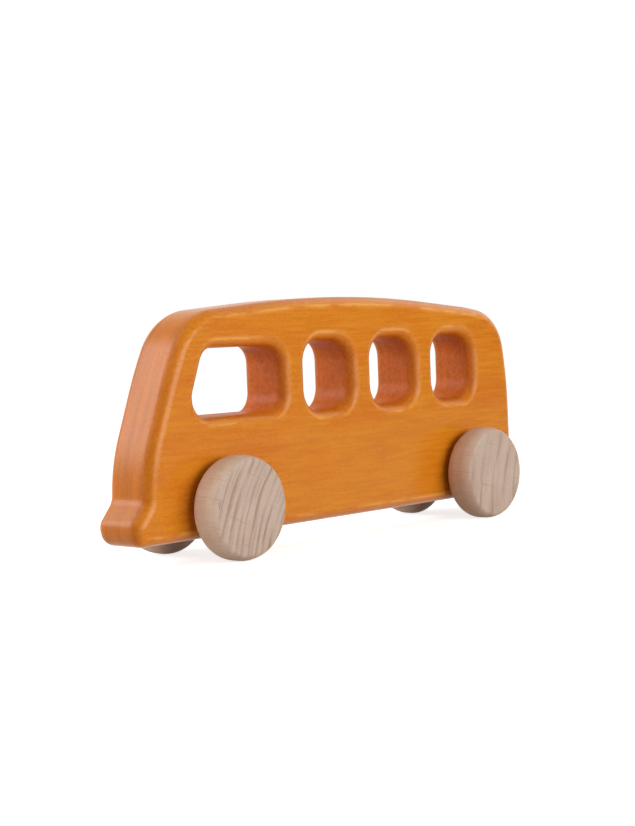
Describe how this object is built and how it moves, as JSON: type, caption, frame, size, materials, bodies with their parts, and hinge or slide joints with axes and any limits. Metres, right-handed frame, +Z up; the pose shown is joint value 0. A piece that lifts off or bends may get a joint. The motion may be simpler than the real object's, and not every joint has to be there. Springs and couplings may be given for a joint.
{
  "type": "toy bus",
  "caption": "Push-along wooden toy bus: a stained plank body with routed edges and through windows, rolling on turned beech wheels glued to dowel axles.",
  "frame": {"origin": "on the surface that the wheels stand on, under the middle of the bus", "axes": "+X towards the rear of the bus, +Y towards its right side, +Z up"},
  "size_m": [0.2028, 0.048, 0.0867],
  "materials": {
    "stained_wood": "orange water stain under a satin oil, fine grain showing through",
    "wheel_beech": "plain sanded beech, growth rings and ray flecks showing",
    "dowel_beech": "plain beech dowel"
  },
  "bodies": {
    "body": {"body": "stained_wood"},
    "front_wheelset": {"front_axle": "dowel_beech", "front_left_wheel": "wheel_beech", "front_right_wheel": "wheel_beech"},
    "rear_wheelset": {"rear_axle": "dowel_beech", "rear_left_wheel": "wheel_beech", "rear_right_wheel": "wheel_beech"}
  },
  "joints": [
    {"name": "front_wheels_roll", "type": "hinge", "parent": "body", "child": "front_wheelset", "pos_m": [-0.06325, 0, 0.0175], "axis": [0, 1, 0], "continuous": true},
    {"name": "rear_wheels_roll", "type": "hinge", "parent": "body", "child": "rear_wheelset", "pos_m": [0.07045, 0, 0.0175], "axis": [0, 1, 0], "continuous": true}
  ]
}
